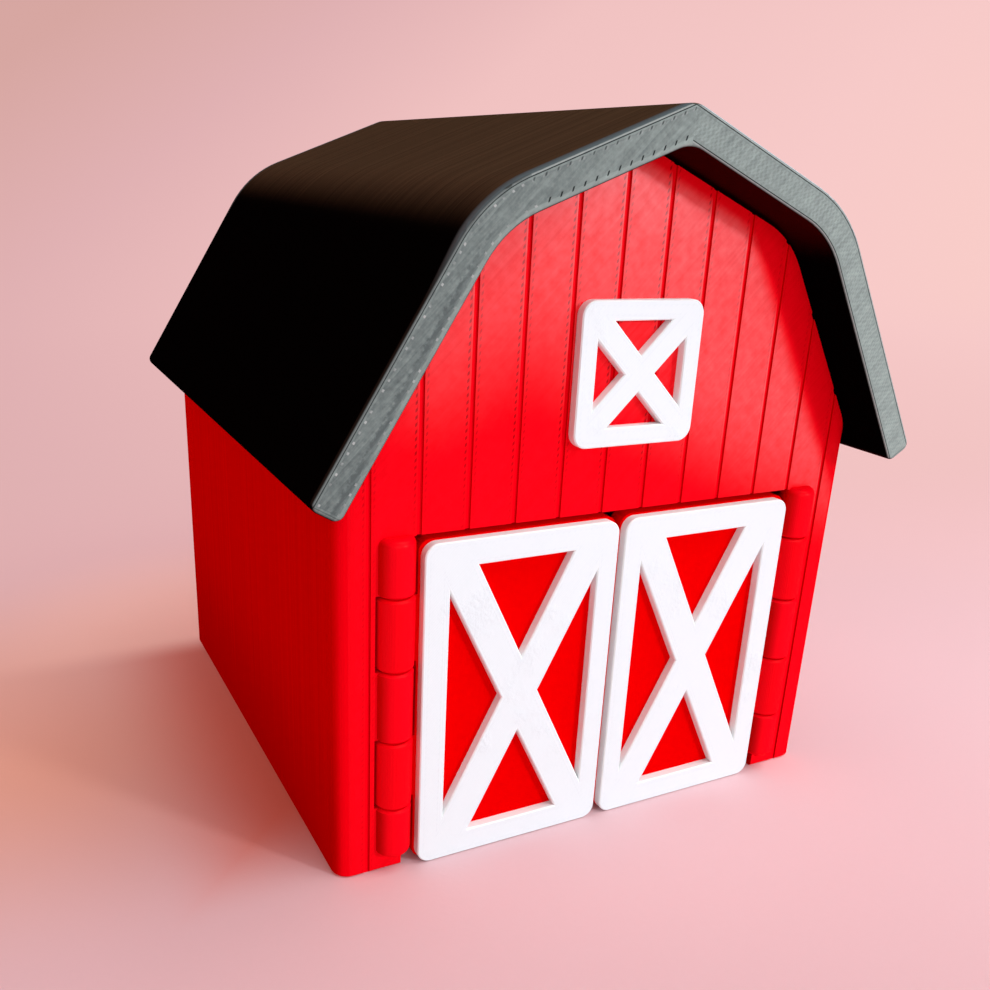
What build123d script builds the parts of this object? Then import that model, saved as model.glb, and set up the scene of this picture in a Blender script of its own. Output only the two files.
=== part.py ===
from build123d import *
import math
import os

# A toy barn printed in plastic: a hollow red body with a gambrel gable, a black roof
# that hangs over it all round, and two front doors on interleaved knuckle hinges, each
# turning on a pin. White braced trims are stuck to the doors and to the loft.
# Millimetres. The front looks along -Y and +Z is up. The origin is on the ground, under
# the middle of the roof.

# ---- driving dimensions ------------------------------------------------------------

# Body
BODY_WIDTH = 100.0
BODY_DEPTH = 102.5
WALL = 3.2
FLOOR = 3.0
CORNER_RADIUS = 2.8
CAVITY_RADIUS = 1.5
FOOT_CHAMFER = 0.4

# Roof: the outer corners of its right half, seen from the front, as (x, z)
ROOF_LENGTH = 114.4
ROOF_THICKNESS = 5.25
FRONT_OVERHANG = 8.6
RIDGE_Z = 121.25
KNEE = (32.33, 108.1)
EAVE = (56.6, 67.9)
KNEE_RADIUS = 21.5
RIDGE_RADIUS = 5.0
RIDGE_INNER_RADIUS = 5.5
EAVE_RADIUS = 1.4
VERGE_RADIUS = 0.55
REAR_VERGE_CHAMFER = 0.4

# Gaps under the roof: it rests on the bevelled tops of the side walls
RIDGE_GAP = 0.8
GABLE_GAP = 0.3
GABLE_EAVE_RADIUS = 7.0

# Planks of the front wall
PLANK_PITCH = 8.13
PLANK_GROOVES = 12
GROOVE_WIDTH = 0.8
GROOVE_DEPTH = 0.35

# Doorway and doors
DOORWAY_WIDTH = 77.3
DOORWAY_TOP = 59.15
DOORWAY_RADIUS = 2.0
DOOR_RECESS = 0.3
DOOR_THICKNESS = 3.0
DOOR_GAP = 0.9
DOOR_OUTER_X = 36.5
DOOR_BOTTOM = 0.4
DOOR_TOP = 58.2
DOOR_RADIUS = 2.0
DOOR_STOP_GAP = 0.4

# Hinges: five knuckles each, of which the second and fourth belong to the door
HINGE_X = 40.1
HINGE_SETBACK = 0.6
KNUCKLE_RADIUS = 3.1
KNUCKLE_CHAMFER = 0.35
BARREL_END_RADIUS = 1.3
BARREL_BOTTOM = 3.15
BARREL_TOP = 59.4
KNUCKLE_JOINTS = (12.6, 25.0, 37.45, 49.9)
KNUCKLE_GAP = 0.35
SLOT_CLEARANCE = 0.4
PIN_RADIUS = 0.875
PIN_SEAT_CLEARANCE = 0.02
PIN_RUNNING_CLEARANCE = 0.06
PIN_CAP = 2.0
PIN_INSET = 0.6

# White trims
TRIM_THICKNESS = 1.7
TRIM_CORNER_RADIUS = 2.4
TRIM_EDGE_CHAMFER = 0.2
DOOR_TRIM_X = (0.65, 36.1)
DOOR_TRIM_Z = (0.1, 57.9)
DOOR_TRIM_WINDOW = (27.2, 49.0)
DOOR_TRIM_CENTRE = (18.06, 29.06)
DOOR_BRACE_WIDTH = 6.2
DOOR_BRACE_ANGLE = 63.5
DOOR_TRIM_INNER_RADIUS = 0.4
LOFT_TRIM_SIZE = 22.8
LOFT_TRIM_Z = 82.1
LOFT_TRIM_WINDOW = 16.6
LOFT_BRACE_WIDTH = 4.1
LOFT_BRACE_ANGLE = 45.0
LOFT_TRIM_INNER_RADIUS = 0.3

# ---- places that follow from them ----------------------------------------------------

FRONT_Y = -ROOF_LENGTH / 2 + FRONT_OVERHANG
HINGE_Y = FRONT_Y + HINGE_SETBACK
DOOR_FRONT_Y = FRONT_Y + DOOR_RECESS
DOOR_BACK_Y = DOOR_FRONT_Y + DOOR_THICKNESS
TOP_PITCH = math.atan2(RIDGE_Z - KNEE[1], KNEE[0])
SIDE_PITCH = math.atan2(KNEE[1] - EAVE[1], EAVE[0] - KNEE[0])
PAST_RIDGE = RIDGE_Z + 10.0
SPARE = 1.0


def slab(outline, front_y, depth):
    """Solid with an outline drawn in X and Z, from front_y backwards by depth."""
    return extrude(Plane.XZ.offset(-(front_y + depth)) * outline, depth)


def upright(outline, bottom, top):
    """Solid with an outline drawn in X and Y, between two heights."""
    return extrude(Plane.XY.offset(bottom) * outline, top - bottom)


def round_corners(outline, corners, radius):
    """Rounds those corners of an outline that lie on the given points."""
    chosen = [
        vertex
        for vertex in outline.vertices()
        if any(math.dist((vertex.X, vertex.Y), corner) < 0.01 for corner in corners)
    ]
    return fillet(chosen, radius)


def both_sides(points):
    """The given points and their mirror images across X = 0."""
    return [(side * x, z) for side in (1, -1) for x, z in points]


def gambrel(top_inset, side_inset):
    """Ridge, knee and the side slope's height at x, for roof faces moved inwards.

    Each slope is a line at a fixed distance from the origin. The two distances get
    smaller by the insets, and the knee is where the moved lines cross.
    """
    top = RIDGE_Z * math.cos(TOP_PITCH) - top_inset
    side = EAVE[0] * math.sin(SIDE_PITCH) + EAVE[1] * math.cos(SIDE_PITCH) - side_inset
    bend = math.sin(SIDE_PITCH - TOP_PITCH)
    knee_x = (side * math.cos(TOP_PITCH) - top * math.cos(SIDE_PITCH)) / bend
    knee_z = (top * math.sin(SIDE_PITCH) - side * math.sin(TOP_PITCH)) / bend

    def side_z(x):
        return (side - x * math.sin(SIDE_PITCH)) / math.cos(SIDE_PITCH)

    return (0.0, top / math.cos(TOP_PITCH)), (knee_x, knee_z), side_z


# ---- roof ------------------------------------------------------------------------------


def make_roof():
    """One gambrel shell with rounded knees and square-cut eaves.

    Its verges are rounded in front, and chamfered at the back, where it stood on a bed.
    """
    ridge, knee, _ = gambrel(ROOF_THICKNESS, ROOF_THICKNESS)
    eave_inner = (
        EAVE[0] - ROOF_THICKNESS * math.sin(SIDE_PITCH),
        EAVE[1] - ROOF_THICKNESS * math.cos(SIDE_PITCH),
    )
    right = [(0.0, RIDGE_Z), KNEE, EAVE, eave_inner, knee, ridge]
    left = [(-x, z) for x, z in reversed(right[1:-1])]
    profile = make_face(Polyline(*right, *left, close=True))
    profile = round_corners(profile, both_sides([KNEE]), KNEE_RADIUS)
    profile = round_corners(profile, both_sides([knee]), KNEE_RADIUS - ROOF_THICKNESS)
    profile = round_corners(profile, [(0.0, RIDGE_Z)], RIDGE_RADIUS)
    profile = round_corners(profile, [ridge], RIDGE_INNER_RADIUS)
    profile = round_corners(profile, both_sides([EAVE, eave_inner]), EAVE_RADIUS)
    shell = slab(profile, -ROOF_LENGTH / 2, ROOF_LENGTH)
    shell = chamfer(shell.faces().sort_by(Axis.Y)[-1].edges(), REAR_VERGE_CHAMFER)
    return fillet(shell.faces().sort_by(Axis.Y)[0].edges(), VERGE_RADIUS)


# ---- body ------------------------------------------------------------------------------


def gable_profile(side_gap, eave_radius):
    """Front view of the body: square below, gambrel above, clear of the roof."""
    half = BODY_WIDTH / 2
    ridge, knee, side_z = gambrel(
        ROOF_THICKNESS + RIDGE_GAP, ROOF_THICKNESS + side_gap
    )
    eave = (half, side_z(half))
    right = [ridge, knee, eave, (half, 0.0)]
    left = [(-x, z) for x, z in reversed(right[1:])]
    profile = make_face(Polyline(*right, *left, close=True))
    profile = round_corners(profile, both_sides([knee]), KNEE_RADIUS - ROOF_THICKNESS)
    return round_corners(profile, both_sides([eave]), eave_radius)


def body_block():
    """Solid block of the body, with rounded corner posts and a chamfered foot."""
    middle_y = FRONT_Y + BODY_DEPTH / 2
    plan = Pos(0, middle_y) * RectangleRounded(BODY_WIDTH, BODY_DEPTH, CORNER_RADIUS)
    block = upright(plan, 0.0, PAST_RIDGE)
    block = chamfer(block.faces().sort_by(Axis.Z)[0].edges(), FOOT_CHAMFER)
    front = slab(gable_profile(GABLE_GAP, GABLE_EAVE_RADIUS), FRONT_Y, WALL)
    rest = slab(gable_profile(0.0, CORNER_RADIUS), FRONT_Y + WALL, BODY_DEPTH - WALL)
    return block & (front + rest)


def cavity():
    """Inside of the barn, open upwards under the roof."""
    middle_y = FRONT_Y + BODY_DEPTH / 2
    plan = Pos(0, middle_y) * RectangleRounded(
        BODY_WIDTH - 2 * WALL, BODY_DEPTH - 2 * WALL, CAVITY_RADIUS
    )
    return upright(plan, FLOOR, PAST_RIDGE)


def doorway():
    """Opening for both doors, deep enough that the floor stops short of them."""
    top_corners = both_sides([(DOORWAY_WIDTH / 2, DOORWAY_TOP)])
    outline = Pos(0, DOORWAY_TOP / 2 - SPARE) * Rectangle(
        DOORWAY_WIDTH, DOORWAY_TOP + 2 * SPARE
    )
    outline = round_corners(outline, top_corners, DOORWAY_RADIUS)
    depth = SPARE + DOOR_RECESS + DOOR_THICKNESS + DOOR_STOP_GAP
    return slab(outline, FRONT_Y - SPARE, depth)


def plank_grooves():
    """Upright grooves across the whole front wall."""
    grooves = []
    for number in range(PLANK_GROOVES):
        x = (number - (PLANK_GROOVES - 1) / 2) * PLANK_PITCH
        groove = Pos(x, FRONT_Y, PAST_RIDGE / 2) * Box(
            GROOVE_WIDTH, 2 * GROOVE_DEPTH, PAST_RIDGE + 2 * SPARE
        )
        grooves.append(groove)
    return grooves


def knuckle_spans():
    """Bottom and top of each of the five knuckles, from the ground up."""
    half_gap = KNUCKLE_GAP / 2
    bottoms = (BARREL_BOTTOM, *(z + half_gap for z in KNUCKLE_JOINTS))
    tops = (*(z - half_gap for z in KNUCKLE_JOINTS), BARREL_TOP)
    return list(zip(bottoms, tops))


def hinge_cylinder(side, radius, bottom, top):
    """Upright cylinder round one hinge axis. side is -1 on the left, 1 on the right."""
    return upright(Pos(side * HINGE_X, HINGE_Y) * Circle(radius), bottom, top)


def ease_rim(knuckle, rim, free_end):
    """Rounds over a free end of the barrel, or breaks the edge between two knuckles."""
    edge = knuckle.edges().filter_by(GeomType.CIRCLE).sort_by(Axis.Z)[rim]
    if free_end:
        return fillet(edge, BARREL_END_RADIUS)
    return chamfer(edge, KNUCKLE_CHAMFER)


def knuckles(side, first):
    """Every second knuckle of one barrel, counted from the ground up."""
    barrel = []
    for bottom, top in knuckle_spans()[first::2]:
        knuckle = hinge_cylinder(side, KNUCKLE_RADIUS, bottom, top)
        knuckle = ease_rim(knuckle, 0, bottom == BARREL_BOTTOM)
        knuckle = ease_rim(knuckle, -1, top == BARREL_TOP)
        barrel.append(knuckle)
    return barrel


def door_knuckle_slots(side):
    """Room in the wall for the second and fourth knuckle to turn."""
    radius = KNUCKLE_RADIUS + SLOT_CLEARANCE
    return [
        hinge_cylinder(side, radius, bottom - KNUCKLE_GAP, top + KNUCKLE_GAP)
        for bottom, top in knuckle_spans()[1::2]
    ]


def pin_bore(side, clearance):
    """Blind hole for the hinge pin, open at the foot of the barrel."""
    top = BARREL_TOP - PIN_CAP
    return hinge_cylinder(side, PIN_RADIUS + clearance, BARREL_BOTTOM - SPARE, top)


def make_body():
    """Body with floor, four walls, planked front, doorway and its hinge knuckles."""
    body = body_block() - cavity() - doorway() - plank_grooves()
    for side in (-1, 1):
        body = body - door_knuckle_slots(side)
        body = body + knuckles(side, 0)
        body = body - pin_bore(side, PIN_SEAT_CLEARANCE)
    return body


# ---- doors and pins ----------------------------------------------------------------------


def make_door(side):
    """Flat leaf with two knuckles. The leaf's back stays square to the knuckles."""
    width = DOOR_OUTER_X - DOOR_GAP / 2
    centre = (side * (DOOR_OUTER_X + DOOR_GAP / 2) / 2, (DOOR_BOTTOM + DOOR_TOP) / 2)
    outline = Pos(*centre) * RectangleRounded(width, DOOR_TOP - DOOR_BOTTOM, DOOR_RADIUS)
    door = slab(outline, DOOR_FRONT_Y, DOOR_THICKNESS) + knuckles(side, 1)
    web_width = HINGE_X - DOOR_OUTER_X + SPARE
    web_x = side * (HINGE_X - web_width / 2)
    for bottom, top in knuckle_spans()[1::2]:
        height = top - bottom - 2 * KNUCKLE_CHAMFER
        web = Pos(web_x, (bottom + top) / 2) * Rectangle(web_width, height)
        door += slab(web, DOOR_FRONT_Y, DOOR_THICKNESS)
    return door - pin_bore(side, PIN_RUNNING_CLEARANCE)


def make_pin(side):
    """Plain round pin, pushed up against the blind end of its hole."""
    bottom = BARREL_BOTTOM + PIN_INSET
    return hinge_cylinder(side, PIN_RADIUS, bottom, BARREL_TOP - PIN_CAP)


# ---- trims -------------------------------------------------------------------------------


def brace_holes(width, height, brace_width, angle, radius):
    """The four triangles that a crossed brace leaves open in a window."""
    long = width + height
    braces = [
        Rot(0, 0, turn) * Rectangle(long, brace_width) for turn in (angle, -angle)
    ]
    holes = Rectangle(width, height) - braces
    return [fillet(hole.vertices(), radius) for hole in holes.faces()]


def make_trim(outline, holes, back_y):
    """Flat board with braced openings, stuck on at back_y, its front edges eased."""
    board = slab(outline - holes, back_y - TRIM_THICKNESS, TRIM_THICKNESS)
    front = board.faces().sort_by(Axis.Y)[0]
    return chamfer(front.edges(), TRIM_EDGE_CHAMFER)


def make_door_trim(side):
    """Tall frame with a crossed brace, on the outside of one door."""
    width, height = DOOR_TRIM_X[1] - DOOR_TRIM_X[0], DOOR_TRIM_Z[1] - DOOR_TRIM_Z[0]
    outline = Pos(side * sum(DOOR_TRIM_X) / 2, sum(DOOR_TRIM_Z) / 2) * RectangleRounded(
        width, height, TRIM_CORNER_RADIUS
    )
    middle = Pos(side * DOOR_TRIM_CENTRE[0], DOOR_TRIM_CENTRE[1])
    holes = brace_holes(
        *DOOR_TRIM_WINDOW, DOOR_BRACE_WIDTH, DOOR_BRACE_ANGLE, DOOR_TRIM_INNER_RADIUS
    )
    return make_trim(outline, [middle * hole for hole in holes], DOOR_FRONT_Y)


def make_loft_trim():
    """Small square frame with a crossed brace, high on the front wall."""
    middle = Pos(0, LOFT_TRIM_Z)
    outline = middle * RectangleRounded(
        LOFT_TRIM_SIZE, LOFT_TRIM_SIZE, TRIM_CORNER_RADIUS
    )
    holes = brace_holes(
        LOFT_TRIM_WINDOW,
        LOFT_TRIM_WINDOW,
        LOFT_BRACE_WIDTH,
        LOFT_BRACE_ANGLE,
        LOFT_TRIM_INNER_RADIUS,
    )
    return make_trim(outline, [middle * hole for hole in holes], FRONT_Y)


# ---- write the parts ---------------------------------------------------------------------

os.makedirs("parts", exist_ok=True)
export_step(make_body(), "parts/barn_body.step")
export_step(make_roof(), "parts/barn_roof.step")
export_step(make_loft_trim(), "parts/loft_trim.step")
for name, side in (("left", -1), ("right", 1)):
    export_step(make_door(side), f"parts/{name}_door.step")
    export_step(make_door_trim(side), f"parts/{name}_door_trim.step")
    export_step(make_pin(side), f"parts/{name}_hinge_pin.step")
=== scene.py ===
# %% [markdown]
# # A printed toy barn
#
# The barn is printed in three plastics: red for the body and its doors, black for the
# roof, white for the braced trims. The solids come finished from the CAD frame, so this
# lesson is about everything the solids don't say: how a printed surface is laid down,
# stroke by stroke, and how that makes one red wall look different from the next.

# %% Load the frame
import math

import bpy
import numpy as np
from mathutils import Matrix, Vector

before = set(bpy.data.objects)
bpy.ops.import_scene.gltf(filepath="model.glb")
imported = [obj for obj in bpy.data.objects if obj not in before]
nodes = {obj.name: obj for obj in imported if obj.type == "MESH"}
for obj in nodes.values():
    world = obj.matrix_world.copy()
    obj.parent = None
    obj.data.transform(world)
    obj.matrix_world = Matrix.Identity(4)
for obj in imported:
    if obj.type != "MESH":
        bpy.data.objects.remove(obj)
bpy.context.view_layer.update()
print("nodes:", sorted(nodes))

# %% [markdown]
# ## Camera
#
# The barn is small and the camera is close, some 17 cm from its front, which is why the
# side wall shrinks so quickly towards the back. A look-at constraint would level the
# picture. This camera is turned 2.9 degrees about its own axis, so its three axes are
# worked out from azimuth, elevation and roll and put straight into the matrix. A small
# shift does what cropping a wider picture does.

# %% Camera
PICTURE = 990
FOCAL_PX = 1011.7
AZIMUTH, ELEVATION, ROLL = (math.radians(a) for a in (-28.741, 20.895, 2.912))
CENTRE_PX = (492.25, 564.70)
CAMERA_AT = (-0.09581, -0.17988, 0.10980)


def camera_axes(azimuth, elevation, roll):
    """Right, up and forward: forward points along the sight line, right is level and
    then both right and up are turned about forward by the roll."""
    forward = np.array(
        [
            -math.sin(azimuth) * math.cos(elevation),
            math.cos(azimuth) * math.cos(elevation),
            -math.sin(elevation),
        ]
    )
    level = np.array([math.cos(azimuth), math.sin(azimuth), 0.0])
    upright = np.cross(level, forward)
    right = level * math.cos(roll) + upright * math.sin(roll)
    up = upright * math.cos(roll) - level * math.sin(roll)
    return right, up, forward


right, up, forward = camera_axes(AZIMUTH, ELEVATION, ROLL)
lens = bpy.data.cameras.new("camera")
lens.sensor_width = 36.0
lens.lens = 36.0 * FOCAL_PX / PICTURE
lens.shift_x = (PICTURE / 2 - CENTRE_PX[0]) / PICTURE
lens.shift_y = (CENTRE_PX[1] - PICTURE / 2) / PICTURE
lens.clip_start = 0.005
camera = bpy.data.objects.new("camera", lens)
bpy.context.scene.collection.objects.link(camera)
turn = np.eye(4)
turn[:3, 0], turn[:3, 1], turn[:3, 2] = right, up, -forward
turn[:3, 3] = CAMERA_AT
camera.matrix_world = Matrix(turn.tolist())
bpy.context.scene.camera = camera
bpy.context.scene.view_settings.view_transform = "Standard"
print("lens", round(lens.lens, 2), "mm, shift", round(lens.shift_y, 4))

# %% [markdown]
# ## Shader arithmetic
#
# The patterns below are formulas: a distance to an edge, the number of a stroke, a
# fraction of a layer. Written as node links they would be unreadable, so one small
# class wraps a socket and lets Python's operators add the Math nodes. Every other node
# comes from one method, which takes its type, its settings and what goes into its
# sockets.


# %% Wires and finishes
def math_node(operation, swapped=False):
    """An operator that adds one Math node, with its two values swapped if asked."""

    def operator(self, other=0.0):
        pair = (other, self) if swapped else (self, other)
        settings = {"operation": operation}
        return self.finish.node("ShaderNodeMath", settings, dict(enumerate(pair)))

    return operator


class Wire:
    """One output socket of a shader node, for use in arithmetic."""

    def __init__(self, finish, socket):
        self.finish = finish
        self.socket = socket

    __add__, __radd__ = math_node("ADD"), math_node("ADD", True)
    __sub__, __rsub__ = math_node("SUBTRACT"), math_node("SUBTRACT", True)
    __mul__, __rmul__ = math_node("MULTIPLY"), math_node("MULTIPLY", True)
    __truediv__, __rtruediv__ = math_node("DIVIDE"), math_node("DIVIDE", True)
    __lt__, __gt__ = math_node("LESS_THAN"), math_node("GREATER_THAN")
    __abs__ = math_node("ABSOLUTE")
    least, most = math_node("MINIMUM"), math_node("MAXIMUM")
    floor, fraction = math_node("FLOOR"), math_node("FRACT")
    root = math_node("SQRT")


class Finish:
    """A material, or a world, with methods that add nodes to it."""

    def __init__(self, name, owner=None):
        self.material = owner or bpy.data.materials.new(name)
        self.material.use_nodes = True
        self.tree = self.material.node_tree
        self.tree.nodes.clear()

    def node(self, kind, settings=None, values=None, output=0):
        """Adds a node of one kind. Settings are made first, and a ramp's stops are
        given as (place, colour). Values are numbers, colours or wires by socket."""
        made = self.tree.nodes.new(kind)
        for name, value in (settings or {}).items():
            if name == "stops":
                self.set_stops(made.color_ramp, value)
            else:
                setattr(made, name, value)
        for name, value in (values or {}).items():
            if isinstance(value, Wire):
                self.tree.links.new(value.socket, made.inputs[name])
            else:
                made.inputs[name].default_value = value
        return Wire(self, made.outputs[output] if made.outputs else None)

    def set_stops(self, ramp, stops):
        """Gives a colour ramp exactly these stops."""
        while len(ramp.elements) < len(stops):
            ramp.elements.new(0.5)
        for element, (place, colour) in zip(ramp.elements, stops):
            element.position = place
            element.color = (*colour, 1.0)

    def split(self, vector):
        """The three numbers of a vector."""
        made = self.node("ShaderNodeSeparateXYZ", None, {0: vector}).socket.node
        return [Wire(self, made.outputs[axis]) for axis in "XYZ"]

    def smooth(self, value, low, high):
        """Goes softly from 0 where value is low to 1 where it is high."""
        settings = {"interpolation_type": "SMOOTHSTEP"}
        values = {"Value": value, "From Min": low, "From Max": high}
        return self.node("ShaderNodeMapRange", settings, values)

    def mix(self, factor, first, second):
        """Colour that is first where factor is 0 and second where it is 1."""
        settings = {"data_type": "RGBA"}
        return self.node("ShaderNodeMix", settings, {0: factor, 6: first, 7: second}, 2)

    def seen(self):
        """1 for rays of the camera, and for those that mirrors and glass send on."""
        kinds = ("Is Camera Ray", "Is Glossy Ray", "Is Transmission Ray")
        camera, glossy, through = (
            self.node("ShaderNodeLightPath", None, None, kind) for kind in kinds
        )
        return camera.most(glossy).most(through)

    def surface(self, bumps, constants, **varying):
        """Ends the material in a Principled surface. Bumps are (height, millimetres)
        and are laid over each other. Constants are set on the sockets themselves."""
        normal = None
        for height, depth in bumps:
            values = {"Height": height, "Distance": depth / 1000, "Strength": 1.0}
            if normal is not None:
                values["Normal"] = normal
            normal = self.node("ShaderNodeBump", None, values)
        sockets = {name.replace("_", " "): wire for name, wire in varying.items()}
        if normal is not None:
            sockets["Normal"] = normal
        shader = self.node("ShaderNodeBsdfPrincipled", None, {**constants, **sockets})
        self.node("ShaderNodeOutputMaterial", None, {"Surface": shader})
        return self.material


# %% [markdown]
# ## How a printed top surface is laid down
#
# The body was printed lying on its back, so the whole front is a top surface. On such a
# face the nozzle first goes round every edge, and then fills the rest with straight
# strokes at 45 degrees, turning round at each end. A stroke is 0.42 mm wide and
# overlaps the last one a little. Where it turns, a pit stays between the turn and the
# edge line, so every groove of the wall gets a row of pits beside it. An image of
# strokes would blur up close. Here all of it follows from one number, the distance to
# the nearest edge, and from the place across the strokes.

# %% Strokes, edge lines and pits
STROKE = 0.377
EDGE_LINE = 0.42
LAYER = 0.2
BEAD_DEPTH = 0.014
FACE_ON = 0.97


def place(finish):
    """Where a point of the surface is, in millimetres along x, y and z."""
    metres = finish.node("ShaderNodeTexCoord", None, None, "Object")
    settings = {"operation": "SCALE"}
    return finish.split(
        finish.node("ShaderNodeVectorMath", settings, {0: metres, "Scale": 1000.0})
    )


def facing(finish):
    """Which way a face looks: the x, y and z of its direction, in its own frame."""
    return finish.split(finish.node("ShaderNodeTexCoord", None, None, "Normal"))


def faces_front_or_back(finish):
    """1 on faces that look along y, and 0 on all that were built up as walls."""
    return abs(facing(finish)[1]) > FACE_ON


def chance(finish, number):
    """The same random value from 0 to 1 for the same number."""
    settings = {"noise_dimensions": "1D"}
    return finish.node("ShaderNodeTexWhiteNoise", settings, {"W": number}, "Value")


def drift(finish, value, scale):
    """A value from 0 to 1 that wanders as the given one grows."""
    settings = {"noise_dimensions": "1D"}
    values = {"W": value, "Scale": scale, "Detail": 2.0}
    return finish.node("ShaderNodeTexNoise", settings, values, 0)


def bead(value, pitch):
    """The round back of a line of plastic: 4 f (1 - f), f being a share of a pitch."""
    share = (value / pitch).fraction()
    return share * (1.0 - share) * 4.0


def top_surface(finish, x, z, edge, loops):
    """Height, tone and pits of a top surface. Within some edge lines of the edge the
    height is a bead of the distance to it, and further in a bead across the strokes,
    whose tone is a random value for each stroke. Pits lie where every second stroke
    ends."""
    across = (x - z) * math.sqrt(0.5)
    border = loops * EDGE_LINE
    filled = finish.smooth(edge, border - 0.04, border + 0.06)
    height = bead(edge, EDGE_LINE) * (1.0 - filled) + bead(across, STROKE) * filled
    tone = chance(finish, (across / STROKE).floor()) * filled
    turn_here = abs((across / (2 * STROKE)).fraction() - 0.5)
    near_border = abs(edge - (border + 0.05))
    pits = finish.smooth(turn_here, 0.3, 0.15) * finish.smooth(near_border, 0.22, 0.1)
    return height, tone, pits


def layer_lines(finish, y):
    """Height and tone of a wall: one bead for each layer, and a tone that differs from
    layer to layer and drifts slowly over many of them."""
    number = (y / LAYER).floor()
    tone = chance(finish, number) * 0.5 + drift(finish, y, 0.9) * 0.5
    return bead(y, LAYER), tone


# %% [markdown]
# ## Distance to the nearest edge
#
# Each face has its own outline. The wall's is made of its twelve grooves, the doorway
# and the corner posts. The roof's is its own thickness, bent round the knee. A trim's
# is a rounded frame with four triangles. A distance could be baked into the mesh, but
# the big flat faces have no vertices to carry it, so it is a formula.

# %% Outlines
TOP_PITCH, SIDE_PITCH = math.atan2(13.15, 32.33), math.atan2(40.2, 24.27)
ROOF_TOP, ROOF_SIDE, ROOF_THICK = 112.31, 83.55, 5.25
KNEE_RADIUS = 21.5
EAVE = (56.6, 67.9)
PLANK_PITCH, GROOVE_WIDTH = 8.13, 0.8
POST_X = 47.2
DOORWAY_HALF, DOORWAY_TOP = 38.65, 59.15
TRIM_CORNER = 2.4


def across_slope(x, z, pitch):
    """Distance from the origin, measured square to a roof slope."""
    return x * math.sin(pitch) + z * math.cos(pitch)


def down_slope(x, z, pitch):
    """Distance from the origin, measured down along a roof slope."""
    return x * math.cos(pitch) - z * math.sin(pitch)


def roof_edge(x, z):
    """Distance from the outer line of the roof's end face, that from the eave, how far
    a point is along the slope, and whether it is beyond the top slope. The outer line
    is two straight slopes, joined by an arc wherever a point lies beyond the one slope
    and before the other."""
    x = abs(x)
    bend = math.sin(SIDE_PITCH - TOP_PITCH)
    top, side = ROOF_TOP - KNEE_RADIUS, ROOF_SIDE - KNEE_RADIUS
    centre_x = (side * math.cos(TOP_PITCH) - top * math.cos(SIDE_PITCH)) / bend
    centre_z = (top * math.sin(SIDE_PITCH) - side * math.sin(TOP_PITCH)) / bend
    dx, dz = x - centre_x, z - centre_z
    past_top = down_slope(dx, dz, TOP_PITCH) > 0.0
    past_side = down_slope(dx, dz, SIDE_PITCH) > 0.0
    in_arc = past_top * (1.0 - past_side)
    outer = (ROOF_TOP - across_slope(x, z, TOP_PITCH)) * (1.0 - past_top)
    outer = outer + (ROOF_SIDE - across_slope(x, z, SIDE_PITCH)) * past_side
    outer = outer + (KNEE_RADIUS - (dx * dx + dz * dz).root()) * in_arc
    eave = down_slope(*EAVE, SIDE_PITCH) - down_slope(x, z, SIDE_PITCH)
    along = down_slope(x, z, TOP_PITCH) * (1.0 - past_top)
    along = along + down_slope(x, z, SIDE_PITCH) * past_side
    along = along + down_slope(x, z, (TOP_PITCH + SIDE_PITCH) / 2) * in_arc
    return outer, eave, along, past_top


def wall_edge(x, z):
    """Distance to the nearest groove, corner post or doorway edge, that to the nearest
    groove alone, and whether a point lies to the left of that groove."""
    x_half = abs(x)
    share = (x / PLANK_PITCH).fraction()
    groove = abs(share - 0.5) * PLANK_PITCH - GROOVE_WIDTH / 2
    post = POST_X - x_half
    doorway = (x_half - DOORWAY_HALF).most(z - DOORWAY_TOP)
    return groove.least(post).least(doorway), groove, share < 0.5


def trim_edge(x, z, centre, frame_half, window_half, brace_half, angle):
    """Distance to the edge of a braced frame: to its rounded outline from inside, or to
    its four triangles from outside. A triangle is the window less the two braces."""
    x, z = abs(abs(x) - centre[0]), abs(z - centre[1])
    beyond_x = x - (frame_half[0] - TRIM_CORNER)
    beyond_z = z - (frame_half[1] - TRIM_CORNER)
    out_x, out_z = beyond_x.most(0.0), beyond_z.most(0.0)
    corner = (out_x * out_x + out_z * out_z).root()
    outline = TRIM_CORNER - corner - beyond_x.most(beyond_z).least(0.0)
    window = (x - window_half[0]).most(z - window_half[1])
    brace = brace_half - abs(x * math.sin(angle) - z * math.cos(angle))
    return outline.least(window.most(brace))


print("roof knee turns through", round(math.degrees(SIDE_PITCH - TOP_PITCH), 1), "deg")
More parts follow.
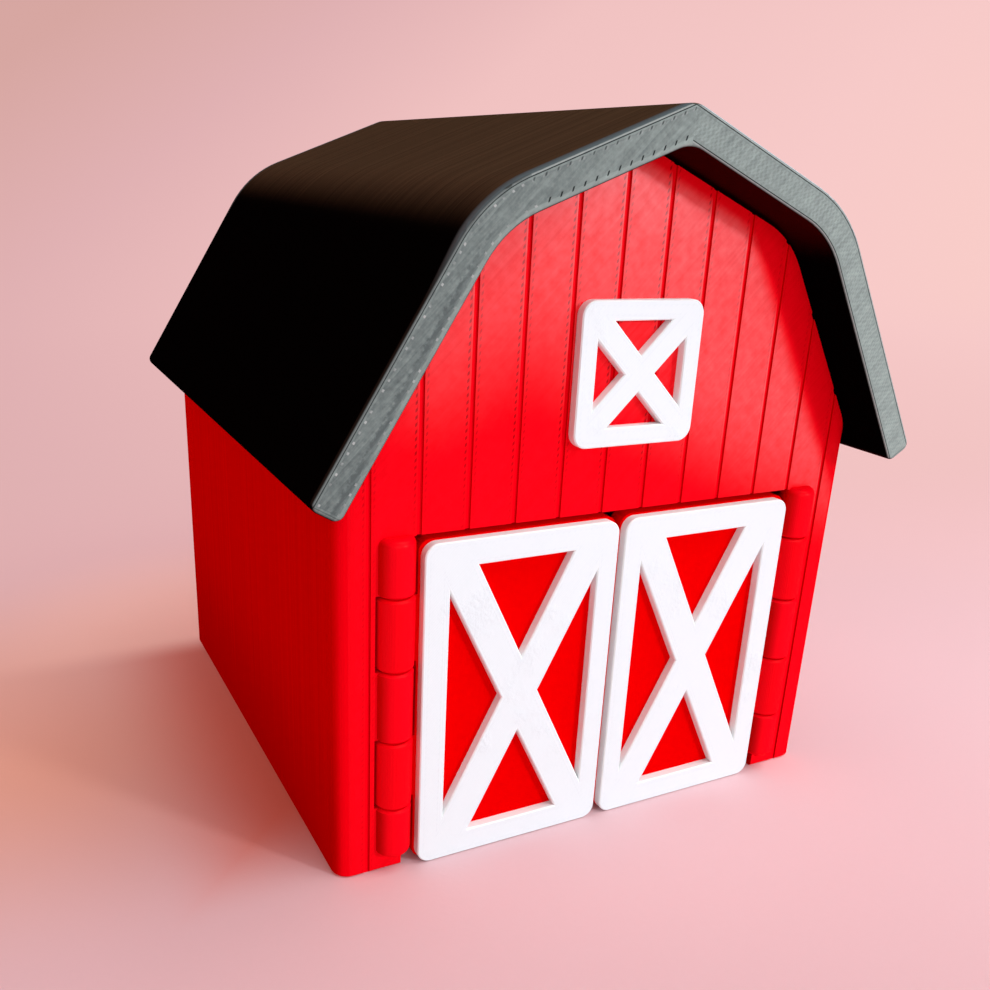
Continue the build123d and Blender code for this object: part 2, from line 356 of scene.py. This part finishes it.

# %% [markdown]
# ## Red body
# The side walls also get a darker red than the front, a painted shade that deepens near
# the ground.
#
# One plastic gives three looks. The front is a stroked top surface that catches the
# light. The side walls and the hinge barrels are stacked layers, seen edge on as fine
# upright lines. The back lay on the plate and is smooth. A two-tone noise would treat
# them all alike. The direction of the face chooses between the patterns, as the printer
# did, and blends them round the corner posts.
#
# The planks shine towards the top right, where they mirror the window, and not just
# under the overhang, which hides it. That is a coat whose weight follows two slanted
# lines and the two slopes of the roof. A lower roughness would shine all over.

# %% Body material
BARREL_Y = -48.9
RED = (0.95, 0.0, 0.008, 1.0)
RED_DARK = (0.76, 0.0, 0.002, 1.0)
# The pits are real hollows; their darker red is painted shade.
RED_PIT_SHADE = (0.42, 0.0, 0.002, 1.0)
RED_SIDE_SHADED = (0.74, 0.0, 0.0, 1.0)
RED_SIDE_DARK_TONE_AND_SHADE = (0.5, 0.0, 0.0, 1.0)
DULL = {"IOR": 1.46, "Specular IOR Level": 0.0}
SHINY = {**DULL, "Coat Roughness": 0.33, "Coat IOR": 1.85}
WALL_COAT, BARREL_COAT = 0.04, 0.04
SHINE_FROM, SHINE_FULL = 67.0, 90.0
TOP_SHADE, SIDE_SHADE = (7.0, 9.2), (11.2, 14.4)
LOFT_Z, LOFT_HALF = 82.1, 11.0


def noise(finish, scale, detail=2.0, vector=None):
    """A value from 0 to 1 that wanders over the surface, in metres unless a vector of
    one's own is given."""
    if vector is None:
        vector = finish.node("ShaderNodeTexCoord", None, None, "Object")
    values = {"Vector": vector, "Scale": scale, "Detail": detail}
    return finish.node("ShaderNodeTexNoise", None, values)


def gable_shine(finish, x, z):
    """Coat weight of the planks: height plus a share of x, where the overhang doesn't
    hide the window."""
    rub_left = finish.smooth(x, -16.0, -38.0) * 14.0
    gable = finish.smooth(z + x * 0.45 + rub_left, SHINE_FROM, SHINE_FULL)
    below_top = ROOF_TOP - across_slope(x, z, TOP_PITCH)
    below_side = ROOF_SIDE - across_slope(x, z, SIDE_PITCH)
    gable = gable * finish.smooth(below_top, *TOP_SHADE)
    gable = gable * finish.smooth(below_side, *SIDE_SHADE)
    return WALL_COAT + gable * (0.95 + finish.smooth(x, -30.0, 12.0) * 0.35)


def side_red_painted_shade(finish, z, tone):
    """Red of the side walls, painted shade: darker than the front, darker still near
    the ground and lighter upwards, varied by the layers' tone.
    """
    light = tone * 0.6 + z / 160.0 - finish.smooth(z, 34.0, 0.0) * 0.5
    return finish.mix(light, RED_SIDE_DARK_TONE_AND_SHADE, RED_SIDE_SHADED)


def body_finish():
    """Red plastic: strokes, edge lines and pits on the front, a smooth plate side at
    the back, layers elsewhere. The pits fade towards the right and below the gable, and
    the grooves and the wall behind the loft trim stay dull."""
    finish = Finish("red_printed_body")
    x, y, z = place(finish)
    look_x, look_y = facing(finish)[:2]
    barrel = y < BARREL_Y
    front = (look_y < -FACE_ON) * (1.0 - barrel)
    layered = (abs(look_y) < FACE_ON).most(barrel)
    edge, groove, left_half = wall_edge(x, z)
    height, tone, pits = top_surface(finish, x, z, edge, 1)
    in_groove = (groove < 0.0) * front
    rim = finish.smooth(abs(groove - 0.12), 0.16, 0.04) * left_half
    pits = pits * (0.55 + left_half * 0.45) * (groove < 0.8) * front
    pits = pits * (1.0 - finish.smooth(x, 2.0, 24.0) * 0.75)
    pits = pits * (0.25 + finish.smooth(z, 60.0, 76.0) * 0.75)
    mottle = noise(finish, 620.0, 3.0)
    wall_height, wall_tone = layer_lines(finish, y)
    light = (0.62 + tone * 0.2 * front + mottle * 0.3) * (1.0 - layered)
    light = light + (0.5 + wall_tone * 0.5 + barrel * 0.4) * layered
    # The grooves are painted lighter than the planks, painted light against their own
    # shade.
    plain = finish.mix(light + in_groove * 0.3, RED_DARK, RED)
    # Faces that look sideways get the side walls' painted shade.
    to_shaded_side = finish.smooth(abs(look_x), 0.5, 1.0)
    plain = finish.mix(to_shaded_side, plain, side_red_painted_shade(finish, z, wall_tone))
    in_loft = (abs(x) < LOFT_HALF) * (abs(z - LOFT_Z) < LOFT_HALF)
    shine = 0.75 + tone * 0.12 + rim * 0.3 - in_groove * 0.7 - in_loft * 0.6
    shine = shine * (0.5 + mottle) * gable_shine(finish, x, z) * front
    rise = (height - pits * 2.5) * front + wall_height * layered
    return finish.surface(
        [(rise, BEAD_DEPTH), (mottle * (1.0 - layered), 0.03)],
        SHINY,
        Base_Color=finish.mix(pits * 0.9, plain, RED_PIT_SHADE),
        Roughness=0.5 + mottle * 0.1,
        Coat_Weight=shine + barrel * BARREL_COAT,
    )


def dress(name, material):
    """Gives a node its material in every slot it has."""
    slots = nodes[name].data.materials
    slots.clear()
    slots.append(material)


dress("barn_body", body_finish())

# %% [markdown]
# ## Doors and pins
#
# The doors were printed face down, so their fronts copied the smooth plate. They show
# no strokes, only a slight unevenness, and look darker than the wall because less light
# is scattered. Their knuckles are stacked layers like those of the body, and as bright.
# The pins are pieces of filament: the same red with a drawn, lengthways streak.

# %% Door and pin materials
DOOR_RED = (0.84, 0.0, 0.0005, 1.0)
DOOR_DARK = (0.64, 0.0, 0.0005, 1.0)
BARREL_RED = (0.93, 0.0, 0.006, 1.0)
BARREL_X = 36.7


def door_finish():
    """Red plastic off the plate: a slow mottle on the front, layers on the sides and on
    the hinge barrels, which shine a little."""
    finish = Finish("red_printed_door")
    x, y = place(finish)[:2]
    barrel = abs(x) > BARREL_X
    flat = faces_front_or_back(finish) * (1.0 - barrel)
    mottle = noise(finish, 700.0)
    wall_height, wall_tone = layer_lines(finish, y)
    light = (0.45 + mottle * 0.4) * flat + (0.7 + wall_tone * 0.4) * (1.0 - flat)
    rise = mottle * 0.4 * flat + wall_height * (1.0 - flat)
    leaf = finish.mix(light, DOOR_DARK, DOOR_RED)
    return finish.surface(
        [(rise, 0.02)],
        SHINY,
        Base_Color=finish.mix(barrel, leaf, BARREL_RED),
        Roughness=0.5 + mottle * 0.1,
        Coat_Weight=barrel * BARREL_COAT,
    )


def pin_finish():
    """Red filament: streaks that run along z, as a noise stretched twenty times."""
    finish = Finish("red_filament_pin")
    settings = {"operation": "MULTIPLY"}
    where = finish.node("ShaderNodeTexCoord", None, None, "Object")
    drawn = finish.node(
        "ShaderNodeVectorMath", settings, {0: where, 1: (3000.0, 3000.0, 150.0)}
    )
    streak = noise(finish, 1.0, 2.0, drawn)
    return finish.surface(
        [(streak, 0.01)],
        DULL,
        Base_Color=finish.mix(streak, RED_DARK, RED),
        Roughness=0.3 + streak * 0.15,
    )


for side in ("left", "right"):
    dress(side + "_door", door_finish())
    dress(side + "_hinge_pin", pin_finish())

# %% [markdown]
# ## Black roof
#
# The slopes are stacked layers, so fine lines run down them beside the gable. The end
# faces are top surfaces again, and their rough strokes scatter so much light that the
# black turns slate grey there. An edge line runs all round, with a dark seam behind it,
# and then comes a row of pits.
#
# The pits needn't be counted. Strokes that meet an edge at an angle a turn there every
# STROKE / sin(a). The top slopes lie 22 degrees from level and the strokes 45, so on
# the left half pairs of strokes turn every 1.94 mm. The side slope is 14 degrees from
# the strokes, and each one leaves its fleck, every 1.57 mm. Pits drawn at one spacing
# would look right on one slope only.

# %% Roof material
BLACK = (0.001, 0.0005, 0.0005, 1.0)
BLACK_SKY_SHEEN = (0.062, 0.038, 0.021, 1.0)
UNDERSIDE_RED_BOUNCE = (0.03, 0.001, 0.001, 1.0)
VERGE_BLACK = (0.013, 0.009, 0.007, 1.0)
VERGE_GREY = (0.075, 0.1, 0.11, 1.0)
VERGE_GLINT = (0.5, 0.56, 0.6, 1.0)
SLATE = (0.33, 0.41, 0.385, 1.0)
SLATE_DARK = (0.1, 0.125, 0.124, 1.0)
SEAM = (0.012, 0.015, 0.016, 1.0)
FLECK = (0.42, 0.46, 0.45, 1.0)
TOP_STEP = 2 * STROKE / math.sin(math.radians(45) - TOP_PITCH)
SIDE_STEP = STROKE / math.sin(SIDE_PITCH - math.radians(45))
TURN_SLANT = 0.758
TOP_PHASE, SIDE_PHASE = 0.29, -0.6
TICK_ROW = 0.5
SHEEN_FROM_X, SHEEN_TO_X = -125.0, 83.0
ROOF_HALF = 57.2


def band(finish, value, middle, reach, core):
    """1 where a value lies within core of the middle, and softly 0 beyond reach."""
    return finish.smooth(abs(value - middle), reach, core)


def distance_to_turn(inner, along, past_top):
    """Distance along the slope to the nearest turn of the strokes. On the top slope the
    turns of the two edges are offset, so the rows lie on slanted lines."""
    slanted = along + inner * TURN_SLANT
    on_top = ((slanted + TOP_PHASE) / TOP_STEP).fraction() - 0.5
    on_side = ((along + SIDE_PHASE) / SIDE_STEP).fraction() - 0.5
    from_top = on_top * (1.0 - past_top) * TOP_STEP
    return abs(from_top + on_side * past_top * SIDE_STEP)


def turn_marks(finish, outer, inner, along, past_top, left):
    """Pits along the inner edge, dots along the outer one, and pale flecks beside them.
    Only the left half has them, and below the knee the flecks outdo the pits."""
    from_turn = distance_to_turn(inner, along, past_top)
    here = finish.smooth(from_turn, 0.22, 0.08) * left
    pit = here * band(finish, inner, 1.05, 0.36, 0.2) * (1.0 - past_top * 0.85)
    dot = here * band(finish, outer, 1.0, 0.28, 0.12) * (1.0 - past_top)
    beside = band(finish, from_turn, 0.34 - past_top * 0.3, 0.22, 0.08) * left
    fleck = beside * band(finish, outer, 1.1, 0.24, 0.08)
    fleck = fleck.most(beside * past_top * band(finish, inner, 0.95, 0.24, 0.08))
    return pit, dot, fleck


def edge_marks(finish, outer, inner, eave, left):
    """The dark seam behind the edge line and the bright hair outside it. Along the
    inner edge only the right half shows them."""
    right = 1.0 - left
    seam = band(finish, outer, 0.56, 0.1, 0.04)
    seam = seam.most(band(finish, inner, 0.45, 0.1, 0.04) * right)
    seam = seam.most(band(finish, eave, 0.6, 0.1, 0.04) * 0.5)
    hair = band(finish, outer, 0.36, 0.12, 0.04)
    hair = hair.most(band(finish, inner, 0.27, 0.12, 0.04) * right)
    return seam, hair


def stroke_ticks(x, z, outer):
    """Short ticks across the strokes, in rows that are half a tick apart."""
    row = (outer / TICK_ROW).floor()
    return bead((x - z) * math.sqrt(0.5) + row * STROKE, 2 * STROKE)


def end_face(finish, x, z, left, outer, eave, along, past_top):
    """Colour, relief and tone of the roof's end faces. The right half has short ticks
    in rows instead of pits. The grey is painted lighter towards the right, a painted
    sheen, and darker at the outer edge, a painted shade."""
    inner = ROOF_THICK - outer
    edge = outer.least(inner).least(eave)
    height, tone = top_surface(finish, x, z, edge - 0.6, 1)[:2]
    cloud = noise(finish, 350.0, 4.0)
    grit = noise(finish, 1600.0)
    run = finish.node("ShaderNodeCombineXYZ", None, {0: x - z, 1: (x + z) * 0.12})
    streak = noise(finish, 1.4, 3.0, run)
    ticks = stroke_ticks(x, z, outer) * (1.0 - left)
    ticks = (ticks - 0.6) * finish.smooth(edge, 0.85, 1.0) * (cloud * 2.2 - 0.2)
    pit, dot, fleck = turn_marks(finish, outer, inner, along, past_top, left)
    seam, hair = edge_marks(finish, outer, inner, eave, left)

    # Painted sheen: lighter towards the right, where the end faces mirror the window.
    lit = (x - SHEEN_FROM_X) / (SHEEN_TO_X - SHEEN_FROM_X) - (1.0 - left) * 0.06
    lit = lit + (tone - 0.5) * 0.16 + (cloud - 0.5) * 0.25
    lit = lit + (grit - 0.5) * 0.5 + (streak - 0.5) * 0.6
    lit = lit + ticks * 0.25 + finish.smooth(edge, 1.0, 0.8) * 0.06
    ragged = inner + (grit - 0.5) * 1.2
    lit = lit + finish.smooth(ragged, 1.1, 0.8) * left * 0.16
    low = finish.smooth(z, 108.0, 96.0) * left
    lit = lit - band(finish, ragged, 1.6, 0.6, 0.2) * low * 0.2
    side_left = past_top * left
    # Painted shade where the face rounds over its outer edge, deeper on the left side
    # slopes.
    lit = lit - finish.smooth(outer, 0.5, 0.35) * (0.25 + side_left * 0.25)
    grey = finish.mix(lit, SLATE_DARK, SLATE)

    pale = fleck * (0.35 + past_top * 0.65) * finish.smooth(cloud, 0.35, 0.65)
    grey = finish.mix(pale.most(hair * (0.5 - side_left * 0.35)), grey, FLECK)
    grey = finish.mix((pit * 0.95).most(dot * 0.6).most(seam * 0.9), grey, SEAM)
    return grey, height - pit * 2.0 - dot - seam + pale + ticks * 0.8, tone


def slope_black(finish, look_z, tone):
    """Black of the slopes, with a painted brownish sheen where they face the sky, and
    painted red bounce from the walls, a dark red, on the underside.
    """
    sky_sheen = finish.smooth(look_z, 0.55, 0.9) * (0.45 + tone * 0.8)
    black = finish.mix(sky_sheen, BLACK, BLACK_SKY_SHEEN)
    return finish.mix(finish.smooth(look_z, -0.53, -0.92), black, UNDERSIDE_RED_BOUNCE)


def verge(finish, y, z, look_y, left, outer):
    """Share and colour of the verge, the strip of slope behind an end face. It is wide
    and grey on the top slopes, narrow and dark on the side slopes, and its rounded edge
    carries a painted glint on the right."""
    high = finish.smooth(z, 94.0, 106.0)
    strip = finish.smooth(ROOF_HALF - abs(y), 0.7 + high * 1.3, 0.3 + high * 0.5)
    strip = strip * finish.smooth(outer, 0.3, 0.12)
    colour = finish.mix(high, VERGE_BLACK, VERGE_GREY)
    glint = finish.smooth(abs(look_y), 0.25, 0.6) * finish.smooth(outer, 0.4, 0.2)
    return strip, finish.mix(glint * (1.0 - left), colour, VERGE_GLINT)


def roof_finish():
    """Black plastic: layers on the slopes, and slate grey strokes on the two end faces,
    which run on a little into the rounded verges."""
    finish = Finish("black_printed_roof")
    x, y, z = place(finish)
    look_y, look_z = facing(finish)[1:]
    end = finish.smooth(abs(look_y), 0.5, 0.99)
    left = x < 0.0
    line = roof_edge(x, z)
    grey, relief, tone = end_face(finish, x, z, left, *line)
    wall_height, wall_tone = layer_lines(finish, y)
    colour = finish.mix(end, slope_black(finish, look_z, wall_tone), grey)
    strip, verge_colour = verge(finish, y, z, look_y, left, line[0])
    return finish.surface(
        [(relief * end + wall_height * (1.0 - end), BEAD_DEPTH)],
        DULL,
        Base_Color=finish.mix(strip, colour, verge_colour),
        Roughness=0.62 - tone * 0.1 * end,
    )


dress("barn_roof", roof_finish())

# %% [markdown]
# ## White trims
#
# The trims are thin boards printed face up. White plastic hides its strokes better than
# red, so the pattern is mostly relief: two edge lines round the frame and round each
# triangle, strokes between them, and scuffs where the nozzle dragged. The sides stand
# in the red light of the doors, so they are painted a brighter white than the front:
# painted light.

# %% Trim materials
WHITE = (0.8, 0.9, 0.93, 1.0)
WHITE_DARK = (0.64, 0.74, 0.8, 1.0)
WHITE_SIDE_PAINTED_LIGHT = (0.9, 0.99, 0.99, 1.0)


def trim_finish(name, *outline):
    """White plastic: edge lines, strokes and scuffs in front, layers on the sides."""
    finish = Finish(name)
    x, y, z = place(finish)
    flat = faces_front_or_back(finish)
    edge = trim_edge(x, z, *outline)
    height, tone, pits = top_surface(finish, x, z, edge, 2)
    scuff = finish.smooth(noise(finish, 90.0, 6.0), 0.56, 0.7)
    rough = noise(finish, 1300.0, 3.0)
    wall_height, wall_tone = layer_lines(finish, y)
    light = 0.97 + tone * 0.03 - pits * 0.1 - scuff * 0.12
    front = finish.mix(light, WHITE_DARK, WHITE)
    # The sides are painted a brighter white than the front: painted light.
    side = finish.mix(0.6 + wall_tone * 0.4, WHITE, WHITE_SIDE_PAINTED_LIGHT)
    rise = (height - pits * 0.5) * flat + wall_height * (1.0 - flat)
    return finish.surface(
        [(rise, 0.006), ((scuff + 0.1) * rough * flat, 0.12)],
        {"IOR": 1.46, "Specular IOR Level": 0.3},
        Base_Color=finish.mix(flat, side, front),
        Roughness=0.5 - tone * 0.05,
    )


DOOR_FRAME = ((18.375, 29.0), (17.725, 28.9), (13.6, 24.5), 3.1, math.radians(63.5))
LOFT_FRAME = ((0.0, LOFT_Z), (11.4, 11.4), (8.3, 8.3), 2.05, math.radians(45.0))
door_trim = trim_finish("white_printed_door_trim", *DOOR_FRAME)
dress("left_door_trim", door_trim)
dress("right_door_trim", door_trim)
dress("loft_trim", trim_finish("white_printed_loft_trim", *LOFT_FRAME))

# %% [markdown]
# ## Floor and light
#
# The barn stands on a pale pink sheet that curves up behind it, so there is no line
# where the floor ends. A plane and a wall would show one. Beside the left wall the
# paper takes up its red, most of all at the foot. The light that bounces off the wall
# gives only part of that, and the rest is painted red bounce in the paper's colour.
# The paper is also painted lighter towards the right and the back, and behind the
# left wall's rear end, and far off it turns into a backdrop that emits a painted
# colour, darker to the left.
#
# Four lamps light the barn. The window stands on the right and in front. It is small
# and low, so shadows have an edge and the gable shines. The ceiling is broad and soft,
# the reflector fills in the front, and a lampshade on the left warms the shaded side.
# The world is the rest of the room: dim as a light, but shown in the room's colour.

# %% Floor
PINK = (0.95, 0.64, 0.68, 1.0)
PINK_SHADED = (0.68, 0.46, 0.49, 1.0)
PINK_RED_BOUNCE = (0.76, 0.33, 0.16, 1.0)
PINK_FOOT_BOUNCE = (0.7, 0.1, 0.01, 1.0)
PINK_LIT = (0.98, 0.58, 0.43, 1.0)
BACK_LIT = (1.0, 0.58, 0.53, 1.0)
RED_BOUNCE_CENTRE = (-0.09, 0.03)
LIT_CENTRE, SHADE_FROM, SHADE_TO = (-0.045, 0.06), 0.044, 0.056
FOOT_CENTRE, FOOT_HALF = (-0.05, 0.012), 0.035
ROOM = (0.86, 0.53, 0.52, 1.0)
BACKDROP_FALLOFF_STOPS = [
    (0.0, (0.68, 0.385, 0.36)),
    (0.15, (0.75, 0.44, 0.45)),
    (0.33, (0.875, 0.54, 0.535)),
    (0.7, (0.93, 0.59, 0.58)),
    (1.0, (0.95, 0.61, 0.58)),
]


def sheet_surface(width, front, bend, radius, height):
    """A grid that goes along y on the floor, up a quarter circle and straight up. Its
    second parameter is the length along that line, the first goes across."""
    across = np.linspace(-width / 2, width / 2, 5)
    quarter = radius * math.pi / 2
    along = np.concatenate(
        [
            np.linspace(front, bend, 12)[:-1],
            bend + np.linspace(0.0, quarter, 40)[:-1],
            bend + quarter + np.linspace(0.0, height, 6),
        ]
    )
    angle = np.clip((along - bend) / radius, 0.0, math.pi / 2)
    past = np.clip(along - bend - quarter, 0.0, None)
    y = np.where(along < bend, along, bend + radius * np.sin(angle))
    z = np.where(along < bend, 0.0, radius * (1 - np.cos(angle)) + past)
    grid = np.empty((len(along), len(across), 3))
    grid[..., 0] = across
    grid[..., 1] = y[:, None]
    grid[..., 2] = z[:, None]
    return grid


def grid_object(name, grid):
    """A mesh of quads between neighbouring points of a grid, smooth all over."""
    rows, columns = grid.shape[:2]
    index = np.arange(rows * columns).reshape(rows, columns)
    corners = [index[:-1, :-1], index[:-1, 1:], index[1:, 1:], index[1:, :-1]]
    quads = np.stack(corners, axis=-1).reshape(-1, 4)
    mesh = bpy.data.meshes.new(name)
    mesh.from_pydata(grid.reshape(-1, 3).tolist(), [], quads.tolist())
    mesh.shade_smooth()
    made = bpy.data.objects.new(name, mesh)
    bpy.context.scene.collection.objects.link(made)
    return made


def distance_to(x, y, centre):
    """Distance on the floor to a point."""
    dx, dy = x - centre[0], y - centre[1]
    return (dx * dx + dy * dy).root()


def floor_finish():
    """Pale pink paper with a slow mottle and a faint grain. It is painted lighter
    towards the right and the back, as painted light, redder beside the left wall and at
    its foot, as painted red bounce, and lighter behind the wall's rear end, a painted
    pool of light where light passes the barn. Far from the barn it fades into a
    backdrop that emits a painted colour, darker to the left, which only the camera and
    reflections see, so the bend stays unseen and the floor near the barn keeps its
    shadow. At its ends and sides the backdrop fades into the room."""
    finish = Finish("pink_paper")
    where = finish.node("ShaderNodeTexCoord", None, None, "Object")
    x, y, z = finish.split(where)
    slow, grain = noise(finish, 6.0), noise(finish, 900.0)
    # Painted light: lighter towards the right and the back, darker towards the front.
    bright = finish.smooth(x + y * 0.8, -0.12, 0.1) * 0.74
    pink = finish.mix(bright + slow * 0.1 + grain * 0.05, PINK_SHADED, PINK)
    # Painted red bounce from the left wall.
    red_bounce = finish.smooth(distance_to(x, y, RED_BOUNCE_CENTRE), 0.085, 0.015)
    pink = finish.mix(red_bounce * 0.8, pink, PINK_RED_BOUNCE)
    # More painted red bounce, strongest at the foot of the wall.
    along_foot = abs(y - FOOT_CENTRE[1]) - FOOT_HALF
    foot = finish.smooth(abs(x - FOOT_CENTRE[0]).most(along_foot), 0.028, 0.0)
    pink = finish.mix(foot * 0.75, pink, PINK_FOOT_BOUNCE)
    # Painted pool of light behind the wall's rear end, with a painted shadow edge.
    lit = finish.smooth(distance_to(x, y, LIT_CENTRE), 0.07, 0.01)
    lit = lit * finish.smooth(y, SHADE_FROM, SHADE_TO)
    pink = finish.mix(lit * 0.9, pink, PINK_LIT)
    bump = finish.node("ShaderNodeBump", None, {"Height": grain, "Distance": 0.00002})
    constants = {"Roughness": 0.7, "Specular IOR Level": 0.2}
    varying = {"Base Color": pink, "Normal": bump}
    paper = finish.node("ShaderNodeBsdfPrincipled", None, {**constants, **varying})
    behind = finish.smooth(y + abs(x) * 0.3, -0.05, 0.24)
    behind = behind * (1.0 - foot * (1.0 - lit) * 0.7)
    before = finish.smooth(abs(x) * 0.3 - y, 0.3, 0.8)
    aside = finish.smooth(abs(x), 1.5, 1.95)
    sides = {"stops": BACKDROP_FALLOFF_STOPS}
    # The backdrop emits a painted colour, darker to the left, lighter behind the wall.
    shade = finish.node("ShaderNodeValToRGB", sides, {"Fac": x / 1.4 + 0.2 - z})
    shade = finish.mix(lit * 0.7, shade, BACK_LIT)
    shade = finish.mix(before.most(aside), shade, ROOM)
    values = {"Color": shade, "Strength": 1.0}
    backdrop = finish.node("ShaderNodeEmission", None, values)
    far = behind.most(before).most(aside) * finish.seen()
    shown = finish.node("ShaderNodeMixShader", None, {0: far, 1: paper, 2: backdrop})
    finish.node("ShaderNodeOutputMaterial", None, {"Surface": shown})
    return finish.material


floor = grid_object("floor", sheet_surface(4.0, -2.0, 0.55, 0.4, 1.2))
floor.data.materials.append(floor_finish())
print("floor:", len(floor.data.vertices), "vertices")


# %% Light
COOL = (0.92, 1.0, 1.06)
WARM = (1.0, 0.25, 0.1)
ROOM_LIGHT = (1.0, 0.94, 0.93, 1.0)


def lamp(name, position, aim, size, watts, colour=(1.0, 1.0, 1.0)):
    """A square of light of the given size, turned to look at a point."""
    light = bpy.data.lights.new(name, "AREA")
    light.size = size
    light.energy = watts
    light.color = colour
    made = bpy.data.objects.new(name, light)
    made.location = position
    made.rotation_euler = (
        (Vector(aim) - Vector(position)).to_track_quat("-Z", "Y").to_euler()
    )
    bpy.context.scene.collection.objects.link(made)


lamp("window", (0.643, -1.003, 0.421), (0.0, -0.05, 0.08), 0.12, 5.7, COOL)
lamp("ceiling", (0.3, -0.3, 0.85), (0.0, 0.0, 0.05), 0.7, 5.4)
lamp("reflector", (-0.15, -1.0, 0.35), (0.0, 0.0, 0.05), 0.5, 2.1)
lamp("lampshade", (-0.8, 0.1, 0.5), (-0.1, 0.0, 0.0), 0.5, 1.8, WARM)

room = Finish("room", bpy.data.worlds.new("room"))
unseen = room.node(
    "ShaderNodeBackground", None, {"Color": ROOM_LIGHT, "Strength": 0.29}
)
shown = room.node("ShaderNodeBackground", None, {"Color": ROOM, "Strength": 1.0})
mixed = room.node("ShaderNodeMixShader", None, {0: room.seen(), 1: unseen, 2: shown})
room.node("ShaderNodeOutputWorld", None, {"Surface": mixed})
bpy.context.scene.world = room.material
